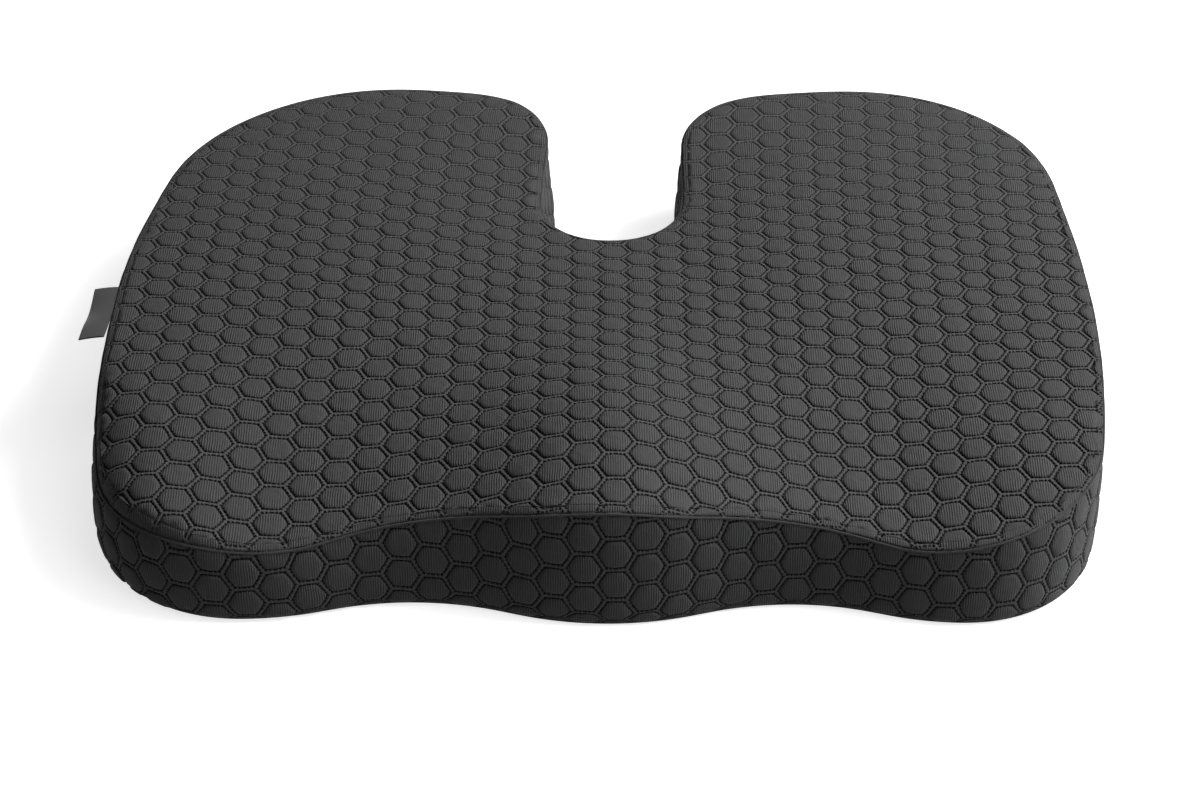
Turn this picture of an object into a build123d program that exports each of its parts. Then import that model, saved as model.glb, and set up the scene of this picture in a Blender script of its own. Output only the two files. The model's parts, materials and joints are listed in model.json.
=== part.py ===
"""Coccyx seat cushion: quilted zip-off cover over a lined foam block with a U notch.

Millimetres, +Z up, the front edge towards -Y. The origin is the middle of the footprint,
on the floor plane under the grip dots.
"""
from build123d import *
import math
import os

# ---- overall shape -------------------------------------------------------------------
width = 450.0
depth = 350.0
widest_y = -15.0            # where the sides bulge out furthest
seat_height = 61.5          # top surface in the middle of the seat

# ---- front edge: three lobes with a hollow between each pair -------------------------
hollow_x = 81.5
hollow_depth = 13.4
thigh_lobe_x = 155.0
thigh_lobe_back = 1.8       # the thigh lobes stop this far behind the middle lobe

# ---- rear lobes and the coccyx notch -------------------------------------------------
corner_radius = 104.0       # one true arc round each rear corner, which carries the zip
corner_x = 113.0            # middle of that arc
corner_arc = (8.7, 98.0)    # where the arc starts and ends, degrees from +X
rear_reach = 1.0            # the arc's rearmost point lies this far beyond half the depth
notch_half_width = 35.5
notch_floor_y = 43.0
mouth_start_y = 130.0       # the notch wall is straight from its round floor to here

# ---- relief of the top surface -------------------------------------------------------
side_rise = 4.0             # dished seat: how much higher the sides are
hump_height = 20.0          # ridge between the thighs, above the falling front
hump_width = 55.0
hump_start_y = -15.0
hump_full_y = -145.0
front_fall = 17.0
channel_depth = 6.0         # extra hollow under each thigh
channel_x = 130.0
channel_width = 38.0
tail_dip = 4.5              # hollow round the notch floor
tail_dip_width = 75.0
tail_dip_length = 60.0
rear_rise = 4.0

# ---- cloth, padding and fits ---------------------------------------------------------
dot_height = 0.5
grip_film = 0.3             # rubber film that joins the dots and backs the bottom cloth
film_margin = 4.0           # from the outline to the edge of the film
dot_diameter = 5.0
dot_pitch = 18.0
dot_margin = 9.5            # from the outline to the nearest dot's middle
bottom_cloth = 1.6
panel_thickness = 3.0
band_thickness = 2.5
welt_height = 1.2
welt_proud = 0.8            # how far the seam ridge stands out of the band
liner_thickness = 0.6
layer_gap = 0.2             # between neighbouring soft layers
label_room = 0.5            # between the band and the liner, where the care label lies

# ---- zip -----------------------------------------------------------------------------
zip_arc = (10.0, 96.0)      # degrees on the rear right corner arc
zip_z = 30.0
zip_window = 7.0            # half height of the slot between the two gusset strips
gusset_thickness = 1.5
tape_thickness = 0.8
tape_depth = 1.7            # outer face of the tape below the outline
tape_edge = 3.6             # from the zip's middle line to the bound edge of each tape
tape_reach = 13.0
tooth_inner = 0.5
tooth_outer = 3.5
tooth_thickness = 2.2
tooth_length = 1.1
tooth_pitch = 2.0
stop_length = 2.4
slider_length = 11.0
slider_plate = 1.2
slider_gap = 0.3            # all round the teeth and the tape
slider_flange = 1.0
slider_post = 0.4           # wedge between the two rows of teeth
slider_stop_gap = 0.6       # from the closed or open slider to the stops
post_length = 2.0
groove_half = 7.5           # hollow in foam and liner behind the zip
groove_gap = 0.5
pin_diameter = 1.2
lug_thickness = 0.9
lug_length = 2.6
lug_gap = 0.25
pull_thickness = 1.2
pull_length = 22.0
pull_width = 7.0
eye_width = 3.4
eye_gap = 0.2
eye_wall = 0.35
neck_length = 5.0           # from the pin to the wide part of the pull
pull_corner = 2.4
pull_hole = (8.0, 3.0)      # slot in the pull, long and wide
pull_hole_along = 4.0

# ---- labels --------------------------------------------------------------------------
side_label_length = 40.0
side_label_reach = 11.0
side_label_y = -31.5
side_label_ply = 0.5
side_label_gap = 0.05       # between the ribbon's end and the seam ridge
care_label_length = 30.0
care_label_height = 28.0
care_label_ply = 0.3
care_label_z = 8.0

BIG = 300.0                 # larger than the cushion, for cutting blocks
spare = 12.0                # how far the top surface is drawn beyond the cushion
corner_y = depth / 2 + rear_reach - corner_radius
notch_centre_y = notch_floor_y + notch_half_width
cloth_bottom = dot_height + grip_film
panel_bottom = cloth_bottom + bottom_cloth
band_bottom = panel_bottom + welt_height
liner_inset = band_thickness + label_room
foam_inset = liner_inset + liner_thickness + layer_gap
liner_drop = panel_thickness + layer_gap
foam_drop = liner_drop + liner_thickness + layer_gap


def unit(degrees):
    return Vector(math.cos(math.radians(degrees)), math.sin(math.radians(degrees)))


def on_corner(degrees, radius=corner_radius):
    """Point on the zip's arc, or on a concentric one."""
    return Vector(corner_x, corner_y) + unit(degrees) * radius


def biarc(start, start_dir, end, end_dir):
    """Two tangent arcs from start to end; directions are unit vectors."""
    chord = end - start
    along = chord.dot(start_dir + end_dir)
    spread = 2 * (1 - start_dir.dot(end_dir))
    if spread < 1e-9:
        reach = chord.dot(chord) / (4 * chord.dot(end_dir))
    else:
        reach = (math.sqrt(along * along + spread * chord.dot(chord)) - along) / spread
    joint = (start + start_dir * reach + end - end_dir * reach) * 0.5
    return [
        TangentArc(start, joint, tangent=start_dir),
        TangentArc(end, joint, tangent=end_dir * -1),
    ]


def right_half():
    """Edges of the right half outline, from the front middle to the notch floor."""
    knots = [
        (Vector(0, -depth / 2), unit(0)),
        (Vector(hollow_x, hollow_depth - depth / 2), unit(0)),
        (Vector(thigh_lobe_x, thigh_lobe_back - depth / 2), unit(0)),
        (Vector(width / 2, widest_y), unit(90)),
        (on_corner(corner_arc[0]), unit(corner_arc[0] + 90)),
    ]
    edges = []
    for (start, start_dir), (end, end_dir) in zip(knots, knots[1:]):
        edges += biarc(start, start_dir, end, end_dir)
    edges.append(
        ThreePointArc(on_corner(corner_arc[0]), on_corner(sum(corner_arc) / 2), on_corner(corner_arc[1]))
    )
    mouth = Vector(notch_half_width, mouth_start_y)
    edges += biarc(on_corner(corner_arc[1]), unit(corner_arc[1] + 90), mouth, unit(-90))
    edges.append(Line(mouth, (notch_half_width, notch_centre_y)))
    middle = Vector(0, notch_centre_y) + unit(-45) * notch_half_width
    edges.append(ThreePointArc((notch_half_width, notch_centre_y), middle, (0, notch_floor_y)))
    return edges


def outline(inset=0.0):
    """Plan of the cushion, moved inwards by inset."""
    half = Curve() + right_half()
    face = make_face(half + mirror(half, about=Plane.YZ))
    if inset:
        face = offset(face, amount=-inset, kind=Kind.ARC)
    return face


def smooth_step(value):
    value = min(max(value, 0.0), 1.0)
    return value * value * (3 - 2 * value)


def top_height(x, y):
    """Height of the cover's top surface."""
    z = seat_height + side_rise * (abs(x) / 200) ** 2.6
    front = max(hump_start_y - y, 0.0) / (depth / 2 + hump_start_y)
    z -= front_fall * front**2.2
    ridge = smooth_step((hump_start_y - y) / (hump_start_y - hump_full_y))
    z += ridge * hump_height * math.exp(-((x / hump_width) ** 2))
    z -= ridge * channel_depth * math.exp(-(((abs(x) - channel_x) / channel_width) ** 2))
    around_notch = (x / tail_dip_width) ** 2 + ((y - notch_centre_y) / tail_dip_length) ** 2
    z -= tail_dip * math.exp(-around_notch)
    z += rear_rise * (max(y - notch_centre_y, 0.0) / 100) ** 2
    return z


def below_top():
    """Solid under the top surface, wider than the cushion."""
    columns = 25
    rows = 19
    half_x = width / 2 + spare
    half_y = depth / 2 + spare
    xs = [half_x * (2 * i / (columns - 1) - 1) for i in range(columns)]
    ys = [half_y * (2 * j / (rows - 1) - 1) for j in range(rows)]
    points = [[Vector(x, y, top_height(x, y)) for y in ys] for x in xs]
    sheet = Face.make_surface_from_array_of_points(points, tol=0.02, max_deg=5)
    return Solid.extrude(sheet, Vector(0, 0, -BIG))


UNDER_TOP = below_top()


def under(drop):
    """Solid under the top surface lowered by drop."""
    return UNDER_TOP.moved(Location((0, 0, -drop)))


def slab(inset, low, drop):
    """The outline moved in by inset, from height low up to the top surface less drop."""
    column = extrude(outline(inset), BIG)
    return column.moved(Location((0, 0, low))) & under(drop)


def ring(outer_inset, inner_inset, low, high):
    wall = outline(outer_inset) - outline(inner_inset)
    return extrude(wall, high - low).moved(Location((0, 0, low)))


def sector(outer, inner, low, high, start, end):
    """Curved bar on the zip's arc between two radii, two heights and two angles."""
    wedge = Polygon(
        (0, 0),
        *[tuple(unit(start + (end - start) * i / 4) * BIG)[:2] for i in range(5)],
        align=None,
    )
    bar = (Circle(outer) - Circle(inner)) & wedge
    return extrude(bar, high - low).moved(Location((corner_x, corner_y, low)))


def zip_frame(degrees):
    """X along the zip, Y up the band, Z outwards, with the origin on the outline."""
    radial = unit(degrees)
    along = Vector(-radial.Y, radial.X, 0)
    spot = on_corner(degrees)
    return Plane(origin=(spot.X, spot.Y, zip_z), x_dir=along, z_dir=radial)


def block(frame, length, up_low, up_high, out_low, out_high, along=0.0):
    """Box in the zip's frame: along the zip, up the band and outwards."""
    box = Box(length, up_high - up_low, out_high - out_low)
    place = Location((along, (up_low + up_high) / 2, (out_low + out_high) / 2))
    return frame.location * place * box


# ---- cover ---------------------------------------------------------------------------
def cover_top_panel():
    return slab(0, 0, 0) - under(panel_thickness)


def top_seam_welt():
    wall = ring(-welt_proud, band_thickness, 0, BIG)
    return (wall & under(panel_thickness)) - under(panel_thickness + welt_height)


def whole_band():
    wall = ring(0, band_thickness, band_bottom, BIG)
    return wall & under(panel_thickness + welt_height)


def zip_slot(low, high):
    """Block that spans the zip's stretch of the band between two heights."""
    return sector(corner_radius + spare, corner_radius - spare, low, high, *zip_arc)


def cover_side_band():
    return whole_band() - zip_slot(0, BIG)


def gusset():
    wall = sector(corner_radius, corner_radius - gusset_thickness, band_bottom, BIG, *zip_arc)
    return wall & under(panel_thickness + welt_height)


def zip_gusset_upper():
    return gusset() - zip_slot(0, zip_z + zip_window)


def zip_gusset_lower():
    return gusset() - zip_slot(zip_z - zip_window, BIG)


def bottom_seam_welt():
    return ring(-welt_proud, band_thickness, panel_bottom, band_bottom)


def cover_bottom_panel():
    return extrude(outline(), bottom_cloth).moved(Location((0, 0, cloth_bottom)))


def spots_in(zone):
    """Middles of the dots that stand wholly on one patch of film, in offset rows."""
    inside = offset(zone, amount=film_margin - dot_margin, kind=Kind.ARC)
    row_step = dot_pitch * math.sqrt(3) / 2
    rows = int(depth / 2 / row_step)
    columns = int(width / 2 / dot_pitch) + 1
    spots = []
    for row in range(-rows, rows + 1):
        shift = dot_pitch / 2 if row % 2 else 0.0
        for column in range(-columns, columns + 1):
            spot = Vector(column * dot_pitch + shift, row * row_step)
            if inside.is_inside(spot):
                spots.append(spot)
    return spots


def grip_zones():
    """Plan of the three patches of grip film, which leave the notch free."""
    film = outline(film_margin)
    front = Pos(0, notch_floor_y - BIG) * Rectangle(2 * BIG, 2 * BIG)
    lobe = Pos(BIG, notch_floor_y + BIG) * Rectangle(2 * BIG, 2 * BIG)
    return {
        "grip_dots_front": film & front,
        "grip_dots_left": film & mirror(lobe, about=Plane.YZ),
        "grip_dots_right": film & lobe,
    }


def grip_dots(zone, spots):
    """Printed rubber: level round dots that stand on one thin film."""
    film = extrude(zone, grip_film).moved(Location((0, 0, dot_height)))
    inside = [Pos(s.X, s.Y) * Circle(dot_diameter / 2) for s in spots]
    dots = extrude(Sketch() + inside, dot_height)
    return film + dots


def side_label():
    """Blank folded ribbon that stands out of the top seam on the left side."""
    top = top_height(-width / 2, side_label_y) - panel_thickness
    fold = 3 * side_label_ply
    seam = -width / 2 - welt_proud - side_label_gap
    profile = Pos(seam - side_label_reach / 2, top - fold / 2) * Rectangle(side_label_reach, fold)
    inside = Pos(seam - side_label_reach / 2 + fold / 2, top - fold / 2)
    profile -= inside * Rectangle(side_label_reach, side_label_ply)
    start = Plane(origin=(0, side_label_y + side_label_length / 2, 0), x_dir=(1, 0, 0), z_dir=(0, -1, 0))
    return extrude(start * profile, side_label_length)


def care_label():
    """Ribbon inside the cover, on the right wall of the notch."""
    low_x = notch_half_width + band_thickness + (label_room - care_label_ply) / 2
    middle = (low_x + care_label_ply / 2, (notch_centre_y + mouth_start_y) / 2)
    box = Box(care_label_ply, care_label_length, care_label_height)
    return box.moved(Location((*middle, care_label_z + care_label_height / 2)))


# ---- filling -------------------------------------------------------------------------
def zip_groove(extra):
    """Hollow behind the zip that the slider's inner plate runs in."""
    inner = tape_depth + (tape_thickness + tooth_thickness) / 2 + slider_gap + slider_plate + groove_gap
    low = zip_z - groove_half - extra
    high = zip_z + groove_half + extra
    return sector(corner_radius + spare, corner_radius - inner - extra, low, high, *zip_arc)


def inner_liner():
    outer = slab(liner_inset, panel_bottom + layer_gap, liner_drop) - zip_groove(0)
    low = panel_bottom + layer_gap + liner_thickness
    inner = slab(liner_inset + liner_thickness, low, liner_drop + liner_thickness)
    return outer - (inner - zip_groove(liner_thickness))


def foam_core():
    low = panel_bottom + 2 * layer_gap + liner_thickness
    return slab(foam_inset, low, foam_drop) - zip_groove(liner_thickness + layer_gap)


# ---- zip -----------------------------------------------------------------------------
def zip_tape(side):
    edge = zip_z + side * tape_edge
    reach = zip_z + side * tape_reach
    outer = corner_radius - tape_depth
    return sector(outer, outer - tape_thickness, min(edge, reach), max(edge, reach), *zip_arc)


def tooth_depth():
    """Outer and inner faces of the teeth, outwards from the outline."""
    middle = -tape_depth - tape_thickness / 2
    return middle - tooth_thickness / 2, middle + tooth_thickness / 2


def step_angle(length):
    return math.degrees(length / corner_radius)


def tooth_limits():
    """First and last tooth angle, inside the stops."""
    margin = step_angle(2 * stop_length)
    return zip_arc[0] + margin, zip_arc[1] - margin


def zip_teeth(side):
    low, high = tooth_depth()
    first, last = tooth_limits()
    count = int((last - first) / step_angle(tooth_pitch))
    up = sorted((side * tooth_inner, side * tooth_outer))
    angles = [first + i * step_angle(tooth_pitch) for i in range(count + 1)]
    return Compound(children=[block(zip_frame(a), tooth_length, *up, low, high) for a in angles])


def stop(degrees, up_low, up_high):
    low, high = tooth_depth()
    return block(zip_frame(degrees), stop_length, up_low, up_high, low, high)


def zip_top_stops():
    angle = zip_arc[1] - step_angle(stop_length)
    pair = [stop(angle, tooth_inner, tooth_outer), stop(angle, -tooth_outer, -tooth_inner)]
    return Compound(children=pair)


def zip_bottom_stop():
    return stop(zip_arc[0] + step_angle(stop_length), -tooth_outer, tooth_outer)


def slider_rest():
    """Angle of the closed slider, just short of the top stops."""
    return zip_arc[1] - step_angle(1.5 * stop_length + slider_length / 2 + slider_stop_gap)


def slider_travel():
    """Angle of the open slider, just short of the bottom stop."""
    return zip_arc[0] + step_angle(1.5 * stop_length + slider_length / 2 + slider_stop_gap)


def pin_out():
    """How far outwards of the outline the pull's pin lies."""
    face = tooth_depth()[1] + slider_gap + slider_plate
    return face + pin_diameter / 2 + lug_thickness


def zip_slider():
    frame = zip_frame(slider_rest())
    low, high = tooth_depth()
    reach = tooth_outer + slider_gap + slider_flange
    inner = low - slider_gap
    outer = high + slider_gap
    tape_out = -tape_depth + slider_gap
    tape_in = -tape_depth - tape_thickness - slider_gap
    body = block(frame, slider_length, -reach, reach, outer, outer + slider_plate)
    body += block(frame, slider_length, -reach, reach, inner - slider_plate, inner)
    for up in ((-reach, -reach + slider_flange), (reach - slider_flange, reach)):
        body += block(frame, slider_length, *up, tape_out, outer)
        body += block(frame, slider_length, *up, inner, tape_in)
    post = slider_post / 2
    body += block(frame, post_length, -post, post, inner, outer, (slider_length - post_length) / 2)
    return body + slider_lugs(frame, outer + slider_plate)


def slider_lugs(frame, face):
    """Two ears on the outer plate with the pull's pin between them."""
    ear_low = eye_width / 2 + lug_gap
    ear_high = ear_low + lug_thickness
    ears = []
    for up in ((-ear_high, -ear_low), (ear_low, ear_high)):
        ears.append(block(frame, lug_length, *up, face, pin_out() + pin_diameter))
    axis = frame.location * Location((0, 0, pin_out()), (90, 0, 0))
    ears.append(axis * Cylinder(pin_diameter / 2, 2 * ear_high))
    return ears


def zip_pull():
    """Flat tab that hangs on the slider's pin, lying back along the closed zip."""
    eye = pin_diameter / 2 + eye_gap
    rim = max(pull_thickness / 2, eye + eye_wall)
    neck = neck_length + pull_corner / 2
    lug = Circle(rim) + Pos(-neck / 2, 0) * Rectangle(neck, pull_thickness) - Circle(eye)
    hook = extrude(lug, eye_width / 2, both=True)
    length = pull_length - neck_length
    tab = RectangleRounded(length, pull_width, pull_corner)
    tab -= Pos(-pull_hole_along, 0) * SlotOverall(*pull_hole)
    tab = extrude(tab, pull_thickness / 2, both=True)
    tab = Location((-neck_length - length / 2, 0, 0), (90, 0, 0)) * tab
    frame = zip_frame(slider_rest())
    place = frame.location * Location((0, 0, pin_out()), (-90, 0, 0))
    return place * (hook + tab)


def build():
    grips = {name: grip_dots(zone, spots_in(zone)) for name, zone in grip_zones().items()}
    return {
        "cover_top_panel": cover_top_panel(),
        "cover_side_band": cover_side_band(),
        "cover_bottom_panel": cover_bottom_panel(),
        "top_seam_welt": top_seam_welt(),
        "bottom_seam_welt": bottom_seam_welt(),
        **grips,
        "side_label": side_label(),
        "care_label": care_label(),
        "foam_core": foam_core(),
        "inner_liner": inner_liner(),
        "zip_gusset_upper": zip_gusset_upper(),
        "zip_gusset_lower": zip_gusset_lower(),
        "zip_tape_upper": zip_tape(1),
        "zip_tape_lower": zip_tape(-1),
        "zip_teeth_upper": zip_teeth(1),
        "zip_teeth_lower": zip_teeth(-1),
        "zip_top_stops": zip_top_stops(),
        "zip_bottom_stop": zip_bottom_stop(),
        "zip_slider": zip_slider(),
        "zip_pull": zip_pull(),
    }


os.makedirs("parts", exist_ok=True)
for name, shape in build().items():
    export_step(shape, f"parts/{name}.step")
pin = zip_frame(slider_rest()).location * Location((0, 0, pin_out()))
print("slider turns about", corner_x, corner_y, "by", slider_travel() - slider_rest())
print("pull pin at", pin.position)
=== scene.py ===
"""Coccyx seat cushion: quilted cover, seams, label, zip and filling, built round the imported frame."""
import json
import math

import bpy
import numpy as np
from mathutils import Matrix, Vector
from mathutils.bvhtree import BVHTree
from mathutils.geometry import delaunay_2d_cdt
from mathutils.kdtree import KDTree


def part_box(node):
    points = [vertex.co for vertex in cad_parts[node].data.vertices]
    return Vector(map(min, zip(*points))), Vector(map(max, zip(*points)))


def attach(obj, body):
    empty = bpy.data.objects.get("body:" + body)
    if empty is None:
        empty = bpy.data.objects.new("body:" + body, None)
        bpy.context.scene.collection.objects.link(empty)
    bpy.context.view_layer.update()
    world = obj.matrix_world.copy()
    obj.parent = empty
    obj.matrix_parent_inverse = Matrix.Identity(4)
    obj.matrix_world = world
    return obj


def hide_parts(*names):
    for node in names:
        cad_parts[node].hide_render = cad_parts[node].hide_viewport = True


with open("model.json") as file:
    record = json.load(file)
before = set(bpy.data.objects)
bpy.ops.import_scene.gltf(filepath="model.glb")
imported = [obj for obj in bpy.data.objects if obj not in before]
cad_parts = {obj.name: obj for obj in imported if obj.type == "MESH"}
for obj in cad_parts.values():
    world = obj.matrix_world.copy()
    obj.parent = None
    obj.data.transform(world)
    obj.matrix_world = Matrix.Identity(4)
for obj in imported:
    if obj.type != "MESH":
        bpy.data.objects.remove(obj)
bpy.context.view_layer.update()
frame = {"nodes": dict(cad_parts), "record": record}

MM = 0.001

# ---- honeycomb quilting --------------------------------------------------------------
PAD_ACROSS = 15.1 * MM          # from border to border, along the band
PAD_SQUASH = 0.92               # the pads are a little shorter front to back
PAD_TURN = math.radians(0.6)    # the cloth lies slightly askew on the cushion
PAD_ORIGIN = (-10.2 * MM, -60.0 * MM)
# (share of the way from a pad's middle to its border, height)
PAD_PROFILE = (
    (0.00, 0.74 * MM),
    (0.58, 0.64 * MM),
    (0.76, 0.44 * MM),
    (0.822, 0.08 * MM),
    (0.850, -0.60 * MM),
    (0.882, -0.60 * MM),
    (0.912, 0.02 * MM),
    (0.955, 0.16 * MM),
    (1.000, 0.12 * MM),
)
PAD_COLUMN = PAD_ACROSS * math.sqrt(3) / 2
PAD_ROW = PAD_ACROSS * PAD_SQUASH
PAD_CORNER = 0.04               # how far the corners of the inner rings are pulled in
EDGE_POINTS = 2                 # points on each edge of a pad's rings
PAD_RAISED = 0.1 * MM           # heights above this vary from pad to pad
PAD_VARIES = 0.16               # share by which pads differ in height
DRIFT = 0.55 * MM               # how far the cloth's pattern wanders
REAR_CALM = 0.45                # how much flatter the pads lie on the rear lobes
TOP_EDGE = 0.35                 # share of the pads' height that is left right at the top seam
PAD_FADE = 2.5 * MM             # pads flatten over this distance from a seam
TOP_WAVES = 0.35 * MM           # slow unevenness of the top
BAND_WAVES = 0.3 * MM
BAND_TRIM = (0.004, 0.992)      # pads beyond these shares of the band's height end at a seam

# ---- edge of the top panel, drawn with an even grid ----------------------------------
HEM = 2.6 * MM
HEM_STEP = 0.75 * MM
HEM_ROWS = 7
HEM_CROWDING = 1.15             # the rows lie closer together towards the seam
HEM_LAP = 0.35 * MM             # the grid reaches this far under the quilting
SEAM_INSET = 0.1 * MM
CREVICE = 1.3 * MM              # how deep the top panel's edge is drawn in at the seam

# ---- stuffed shape -------------------------------------------------------------------
CAGE_STEP = 7 * MM
BAND_ROWS = 9
SINK = 3.0 * MM                 # the unstuffed top lies this far below the CAD surface
SWELL_TOP = 3.3 * MM
SWELL_BAND = 5.0 * MM
BAND_BOW = 1.5 * MM             # the band already bows out this far before it is stuffed
BASE_TUCK = 0.3 * MM            # the band turns under the cushion by this much
BASE_Z = 1.3 * MM
SHOULDER = 6 * MM               # the top rolls over to the seam across this width
REAR_SHOULDER = 5 * MM          # and this much more round the rear lobes
PRESSURE = 4.0
CLOTH_FRAMES = 20

# ---- this cushion is not quite even: it has been sat on and set down -----------------
LEFT_CORNER = (-203 * MM, -122 * MM)
CORNER_SIZE = 46 * MM
CORNER_DIP = 16 * MM            # the seam is pulled down this far at the front left corner
CORNER_SHOULDER = 26 * MM       # the top rolls over more widely there
CORNER_BOW = 2.0 * MM           # and the band bows out further
CORNER_BOW_REACH = 77 * MM
RIGHT_THIGH = (165 * MM, -150 * MM)
THIGH_REACH = 55 * MM
RIGHT_LIFT = 4.5 * MM           # the right thigh lobe is a little fuller than the left
SIDE_SHIFT = -4.0 * MM          # both sides lie this far to the left
REAR_LEAN = 7.0 * MM            # the rear lobes lean this far to the right
LOBE_SPOT = (58 * MM, 168 * MM)
LOBE_REACH = 30 * MM
LOBE_FULL = 6.0 * MM            # the rear lobes are fuller beside the notch
RIGHT_WALL = (45 * MM, 130 * MM)    # the notch's right wall leans less than its lobe
WALL_REACH = 45 * MM
NOTCH_PINCH = 2.5 * MM          # the notch walls swell this far inwards low down

# ---- seams, label, filling -----------------------------------------------------------
SEAM_RADIUS = 0.5 * MM
SEAM_OUT = 0.5 * MM
SEAM_DROP = 0.9 * MM
SEAM_WOBBLE = 0.12 * MM
LABEL_SEWN_IN = 0.4 * MM
LABEL_WAVE = 0.9 * MM
LABEL_DROOP = 1.5 * MM
LABEL_SKEW = 2.6 * MM
LINER_INSET = 3.6 * MM
FOAM_INSET = 5.0 * MM
ZIP_ROOM = 3.2 * MM             # extra inset of liner and foam behind the zip
# (share of the strip's height, depth in millimetres) from the zip's edge to the seam
UPPER_GUSSET = ((0, -1.3), (0, -0.5), (0.02, -0.05), (0.08, 0), (0.5, 0.25), (0.94, 0), (1, -0.2))
LOWER_GUSSET = ((0, -3.0), (0.06, -0.6), (0.5, 0.25), (0.92, 0), (0.98, -0.05), (1, -0.5), (1, -1.3))

# ---- knit, in millimetres as the cloth coordinates are -------------------------------
RIB_PITCH = 1.05
COURSE_PITCH = 0.8
STITCH_PITCH = 1.8
STITCH_ROWS = 2.0
CALM_START = 60                 # the stitches fade towards the rear from here
CALM_LENGTH = 150
KNIT_DARK = (0.004, 0.004, 0.0042)
KNIT_LIGHT = (0.100, 0.100, 0.102)

# ---- studio --------------------------------------------------------------------------
AIM = (0, 0, 0.03)
# name, place, size, watts
LIGHTS = (
    ("key", (1.3, 0.15, 1.2), 1.2, 49),
    ("top", (0.6, -0.3, 1.6), 1.2, 8),
    ("front", (1.5, -1.4, 0.5), 1.0, 9),
)
SKY = 0.025
TABLE_GLOW = 0.74
TABLE_REACH = 4.0
CAMERA_PLACE = (5.3 * MM, -1043.1 * MM, 742.0 * MM)
CAMERA_PITCH = math.radians(35.62)
CAMERA_YAW = math.radians(-0.49)
CAMERA_LENS = 80.31             # millimetres, on a sensor 36 wide


# ---- small helpers -------------------------------------------------------------------
def smooth(value):
    value = np.clip(value, 0.0, 1.0)
    return value * value * (3 - 2 * value)


def mesh_object(name, points, faces, body="cushion", node=None, shade=True):
    """New mesh object from arrays, riding on a body and standing for a CAD node."""
    mesh = bpy.data.meshes.new(name)
    mesh.from_pydata([tuple(p) for p in points], [], [tuple(f) for f in faces])
    mesh.validate()
    obj = bpy.data.objects.new(name, mesh)
    bpy.context.collection.objects.link(obj)
    if shade:
        mesh.shade_smooth()
    if body:
        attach(obj, body)
    if node:
        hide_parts(node)
    return obj


def point_data(obj, name, values):
    """Stores one vector for each point, for the materials to read."""
    layer = obj.data.attributes.new(name, "FLOAT_VECTOR", "POINT")
    layer.data.foreach_set("vector", np.asarray(values, dtype=np.float32).ravel())


def grid_faces(rows, count, closed=False, flip=False):
    """Quads between rows of points, closed to rings on request."""
    faces = []
    for r in range(rows - 1):
        low, high = r * count, (r + 1) * count
        for c in range(count if closed else count - 1):
            onward = (c + 1) % count
            face = [low + c, high + c, high + onward, low + onward]
            faces.append([face[0], *face[:0:-1]] if flip else face)
    return faces


def read_points(mesh):
    flat = np.empty(len(mesh.vertices) * 3, dtype=np.float64)
    mesh.vertices.foreach_get("co", flat)
    return flat.reshape(-1, 3)


def evaluated_mesh(obj):
    graph = bpy.context.evaluated_depsgraph_get()
    return obj.evaluated_get(graph).to_mesh()


def tree_of(mesh):
    points = [v.co.copy() for v in mesh.vertices]
    return BVHTree.FromPolygons(points, [tuple(p.vertices) for p in mesh.polygons])


def wave_noise(x, y, seed, longest, count=5):
    """Smooth unevenness between about -1 and 1, the same on every run."""
    random = np.random.default_rng(seed)
    total = np.zeros_like(x)
    for octave in range(count):
        length = longest / 1.5**octave
        angle, phase = random.uniform(0, 2 * math.pi, 2)
        along = x * math.cos(angle) + y * math.sin(angle)
        total += np.sin(2 * math.pi * along / length + phase) / 1.2**octave
    return total / count * 1.4


# ---- plan of the cushion, read from the CAD ------------------------------------------
def ordered_rim(mesh):
    """Corners of the plan in order, from the lower face of the bottom panel."""
    points = read_points(mesh)
    low = points[:, 2].min() + 1e-6
    onward = {}
    for face in mesh.polygons:
        if max(points[i, 2] for i in face.vertices) > low:
            continue
        ring = [tuple(np.round(points[i, :2], 6)) for i in face.vertices]
        for a, b in zip(ring, ring[1:] + ring[:1]):
            if onward.get(b, {}).pop(a, None) is None:
                onward.setdefault(a, {})[b] = True
    onward = {a: next(iter(b)) for a, b in onward.items() if b}
    start = min(onward, key=lambda p: p[1] + abs(p[0]))
    rim = [start]
    while onward[rim[-1]] != start:
        rim.append(onward[rim[-1]])
    rim = np.array(rim)
    x, y = rim.T
    area = np.sum(x * np.roll(y, -1) - np.roll(x, -1) * y)
    return rim if area > 0 else rim[::-1]


def blurred(values, sigma):
    """Closed curve or table smoothed by a Gaussian, sigma in steps."""
    waves = np.fft.fftfreq(len(values))
    damp = np.exp(-2 * (math.pi * sigma * waves) ** 2)
    return np.real(np.fft.ifft((np.fft.fft(values, axis=0).T * damp).T, axis=0))


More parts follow.
